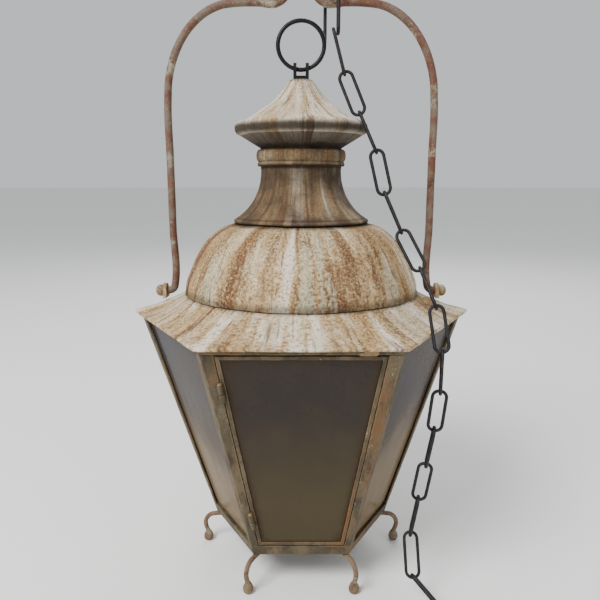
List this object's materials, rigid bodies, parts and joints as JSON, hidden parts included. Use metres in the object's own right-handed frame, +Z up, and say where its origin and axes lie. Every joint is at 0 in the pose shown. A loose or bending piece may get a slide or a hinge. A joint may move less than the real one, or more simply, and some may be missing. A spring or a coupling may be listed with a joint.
{
  "type": "hanging lantern",
  "caption": "Hexagonal glazed lantern with a hinged door, flared roof with dome and cap, a hinged bail, a top ring, ball feet and a chain thrown over the bail.",
  "frame": {"origin": "on the lantern's vertical axis, at the level of the six feet's flats", "axes": "+Z up along the axis, -Y towards the door, +X towards the lantern's right corner, where the bail's right pivot stands"},
  "size_m": [0.4, 0.3464, 0.6837],
  "materials": {
    "pale_tin": "weathered matte paint",
    "dark_tin": "aged, satin",
    "olive_tin": "dull",
    "rusty_rod": "rusted, matte",
    "black_iron": "blackened",
    "chain_steel": "tarnished",
    "brass": "dulled",
    "glass": "dusty, smoky",
    "porcelain": "glazed porcelain"
  },
  "bodies": {
    "housing": {"bottom_frame": "dark_tin", "floor_plate": "olive_tin", "top_frame": "dark_tin", "corner_strip_1": "dark_tin", "corner_strip_2": "dark_tin", "corner_strip_3": "dark_tin", "corner_strip_4": "dark_tin", "corner_strip_5": "dark_tin", "corner_strip_6": "dark_tin", "foot_1": "rusty_rod", "foot_2": "rusty_rod", "foot_3": "rusty_rod", "foot_4": "rusty_rod", "foot_5": "rusty_rod", "foot_6": "rusty_rod", "glass_pane_1": "glass", "glass_pane_2": "glass", "glass_pane_3": "glass", "glass_pane_4": "glass", "glass_pane_6": "glass", "door_pin_lower": "brass", "door_pin_upper": "brass", "skirt": "pale_tin", "dome": "pale_tin", "neck": "pale_tin", "neck_collar": "pale_tin", "cap": "pale_tin", "roof_disk": "brass", "bail_lug_right": "pale_tin", "bail_lug_left": "pale_tin", "lamp_bracket": "black_iron", "lampholder": "porcelain", "chain_link_04": "chain_steel", "chain_link_05": "chain_steel", "chain_link_06": "chain_steel", "chain_link_07": "chain_steel", "chain_link_08": "chain_steel", "chain_link_09": "chain_steel", "chain_link_10": "chain_steel", "chain_link_11": "chain_steel", "chain_link_12": "chain_steel", "chain_link_13": "chain_steel", "chain_link_14": "chain_steel", "chain_link_15": "chain_steel", "chain_link_16": "chain_steel", "chain_link_17": "chain_steel", "chain_link_18": "chain_steel", "chain_link_19": "chain_steel"},
    "bail": {"bail": "rusty_rod", "bail_knob_left": "rusty_rod", "bail_knob_right": "rusty_rod"},
    "bail_chain": {"chain_link_01": "chain_steel", "chain_link_02": "chain_steel", "chain_link_03": "chain_steel"},
    "stem": {"clevis": "black_iron", "ring_stem": "black_iron"},
    "ring": {"top_ring": "black_iron"},
    "door": {"door_frame": "dark_tin", "door_glass": "glass"},
    "button": {"turn_button": "brass"}
  },
  "joints": [
    {"name": "bail_swing", "type": "hinge", "parent": "housing", "child": "bail", "pos_m": [0, 0, 0.327], "axis": [-1, 0, 0], "range_deg": [0, 92]},
    {"name": "strand_hang", "type": "hinge", "parent": "bail", "child": "bail_chain", "pos_m": [0.0332, 0, 0.6443], "axis": [-1, 0, 0], "range_deg": [-92, 0]},
    {"name": "ring_lift", "type": "slide", "parent": "housing", "child": "stem", "axis": [0, 0, 1], "range_m": [0, 0.012]},
    {"name": "ring_tilt", "type": "hinge", "parent": "stem", "child": "ring", "pos_m": [0, 0, 0.5762], "axis": [1, 0, 0], "range_deg": [0, 100]},
    {"name": "door_swing", "type": "hinge", "parent": "housing", "child": "door", "pos_m": [-0.06486, -0.13348, 0.17288], "axis": [0.1342, 0.2677, -0.9541], "range_deg": [0, 100]},
    {"name": "button_turn", "type": "hinge", "parent": "housing", "child": "button", "pos_m": [0.056, -0.16511, 0.2982], "axis": [0, 0.9628, 0.2702], "range_deg": [0, 90]}
  ],
  "couplings": [
    {"joint": "strand_hang", "follows": "bail_swing", "ratio": -1}
  ]
}
